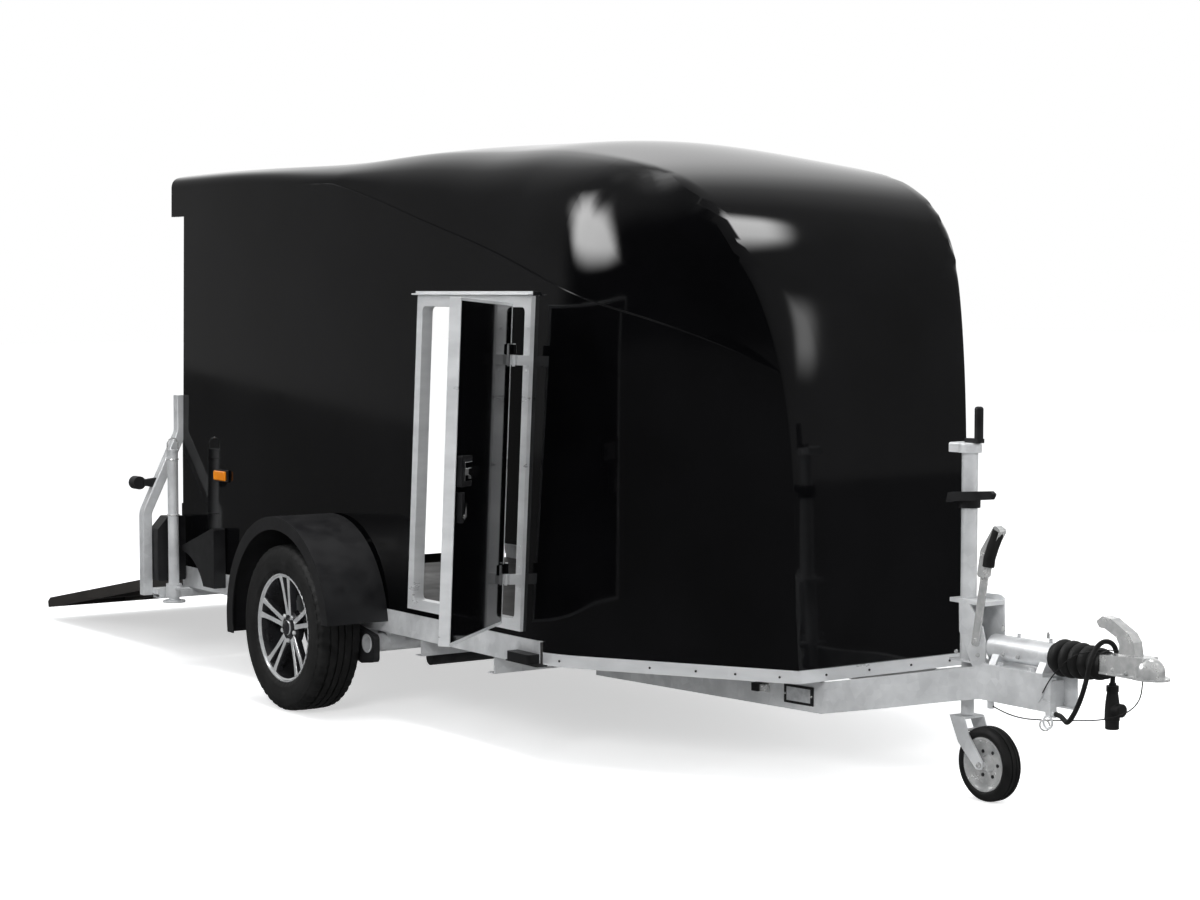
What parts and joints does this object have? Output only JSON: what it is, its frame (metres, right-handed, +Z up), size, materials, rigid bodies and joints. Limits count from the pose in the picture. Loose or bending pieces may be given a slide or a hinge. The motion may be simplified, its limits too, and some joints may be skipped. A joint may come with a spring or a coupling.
{
  "type": "box trailer with rear ramp",
  "caption": "Single-axle box trailer: gloss shell with a swept nose and hinged side door, rear loading ramp on gas struts, V drawbar with overrun coupling, jockey wheel and steady legs.",
  "frame": {"origin": "centre of the ball socket in the coupling head", "axes": "+X ahead along the drawbar to the towing car, +Y to the trailer's left, +Z up"},
  "size_m": [5.9792, 2.3186, 2.0018],
  "materials": {
    "alloy_wheel": "black with machined edges",
    "bare_aluminium": "satin",
    "black_cable": "matte",
    "black_plastic": "matte",
    "black_rubber": "matte",
    "black_steel": "satin black",
    "chromed_rod": "polished",
    "floor_ply": "film faced",
    "galvanised_steel": "matte zinc",
    "gloss_black_shell": "high gloss",
    "red_lens": "gloss",
    "tyre_rubber": "matte",
    "zinc_steel": "bright zinc"
  },
  "bodies": {
    "trailer": {"axle_tube": "galvanised_steel", "bellows": "black_rubber", "brake_bracket": "galvanised_steel", "breakaway_cable": "black_cable", "cable_anchor": "galvanised_steel", "cable_bracket": "galvanised_steel", "cable_plug": "black_cable", "clamp_lever": "black_plastic", "coupling_handle": "zinc_steel", "coupling_head": "zinc_steel", "cross_members": "galvanised_steel", "door_frame": "bare_aluminium", "door_hinges": "bare_aluminium", "drawbar_rails": "galvanised_steel", "drawbar_ties": "galvanised_steel", "electric_cable": "black_cable", "floor_panel": "floor_ply", "front_markers": "black_plastic", "handbrake_lever": "zinc_steel", "hull_nose": "gloss_black_shell", "hull_roof": "gloss_black_shell", "hull_side_left": "gloss_black_shell", "hull_side_right": "gloss_black_shell", "jockey_crank": "black_plastic", "jockey_tube": "galvanised_steel", "leg_clamps": "galvanised_steel", "lift_cylinder": "black_steel", "marker_arms": "black_plastic", "mudguards": "black_plastic", "nose_skirt": "bare_aluminium", "overrun_housing": "galvanised_steel", "rear_beam": "galvanised_steel", "rear_guards": "galvanised_steel", "rear_lenses": "red_lens", "rear_lights": "black_plastic", "safety_cable": "black_cable", "sills": "galvanised_steel", "swing_arms": "black_steel", "wheel_chock": "black_plastic"},
    "side_door": {"side_door": "gloss_black_shell", "door_latch": "black_plastic"},
    "ramp": {"ramp": "floor_ply"},
    "strut_cylinder_right": {"strut_cylinder_right": "black_steel"},
    "strut_cylinder_left": {"strut_cylinder_left": "black_steel"},
    "strut_rod_right": {"strut_rod_right": "chromed_rod"},
    "strut_rod_left": {"strut_rod_left": "chromed_rod"},
    "steady_leg_right": {"steady_leg_right": "galvanised_steel"},
    "steady_leg_left": {"steady_leg_left": "galvanised_steel"},
    "wheel_right": {"rim_right": "alloy_wheel", "tyre_right": "tyre_rubber"},
    "wheel_left": {"rim_left": "alloy_wheel", "tyre_left": "tyre_rubber"},
    "jockey_leg": {"jockey_leg": "galvanised_steel"},
    "jockey_fork": {"jockey_fork": "galvanised_steel"},
    "jockey_wheel": {"jockey_wheel": "black_rubber"}
  },
  "joints": [
    {"name": "wheel_right_spin", "type": "hinge", "parent": "trailer", "child": "wheel_right", "pos_m": [-3.15, -0.9, -0.1655], "axis": [0, 1, 0], "continuous": true},
    {"name": "wheel_left_spin", "type": "hinge", "parent": "trailer", "child": "wheel_left", "pos_m": [-3.15, 0.9, -0.1655], "axis": [0, 1, 0], "continuous": true},
    {"name": "door_hinge", "type": "hinge", "parent": "trailer", "child": "side_door", "pos_m": [-1.945, -0.81795, -0.05176], "axis": [0, 0.044, 0.999], "range_deg": [-134, 26]},
    {"name": "ramp_hinge", "type": "hinge", "parent": "trailer", "child": "ramp", "pos_m": [-4.475, 0, -0.16], "axis": [0, 1, 0], "range_deg": [-1.9, 100]},
    {"name": "strut_pivot_right", "type": "hinge", "parent": "ramp", "child": "strut_cylinder_right", "pos_m": [-4.445, -0.744, -0.125], "axis": [0, 1, 0], "range_deg": [-100, 1.9]},
    {"name": "strut_slide_right", "type": "slide", "parent": "strut_cylinder_right", "child": "strut_rod_right", "axis": [0.0091, 0, 1], "range_m": [-0.0016, 0.0707]},
    {"name": "strut_pivot_left", "type": "hinge", "parent": "ramp", "child": "strut_cylinder_left", "pos_m": [-4.445, 0.744, -0.125], "axis": [0, 1, 0], "range_deg": [-100, 1.9]},
    {"name": "strut_slide_left", "type": "slide", "parent": "strut_cylinder_left", "child": "strut_rod_left", "axis": [0.0091, 0, 1], "range_m": [-0.0016, 0.0707]},
    {"name": "steady_leg_slide_right", "type": "slide", "parent": "trailer", "child": "steady_leg_right", "axis": [0, 0, 1], "range_m": [-0.25, 0]},
    {"name": "steady_leg_slide_left", "type": "slide", "parent": "trailer", "child": "steady_leg_left", "axis": [0, 0, 1], "range_m": [-0.25, 0]},
    {"name": "jockey_slide", "type": "slide", "parent": "trailer", "child": "jockey_leg", "axis": [0, 0, 1], "range_m": [-0.12, 0.035]},
    {"name": "jockey_swivel", "type": "hinge", "parent": "jockey_leg", "child": "jockey_fork", "pos_m": [-0.704, 0, -0.22], "axis": [0, 0, 1], "continuous": true},
    {"name": "jockey_wheel_spin", "type": "hinge", "parent": "jockey_fork", "child": "jockey_wheel", "pos_m": [-0.61, 0, -0.35], "axis": [0, 1, 0], "continuous": true}
  ],
  "couplings": [
    {"joint": "strut_pivot_right", "follows": "ramp_hinge", "ratio": -1},
    {"joint": "strut_slide_right", "follows": "ramp_hinge", "m_per_rad": 0.04045},
    {"joint": "strut_pivot_left", "follows": "ramp_hinge", "ratio": -1},
    {"joint": "strut_slide_left", "follows": "ramp_hinge", "m_per_rad": 0.04045}
  ]
}
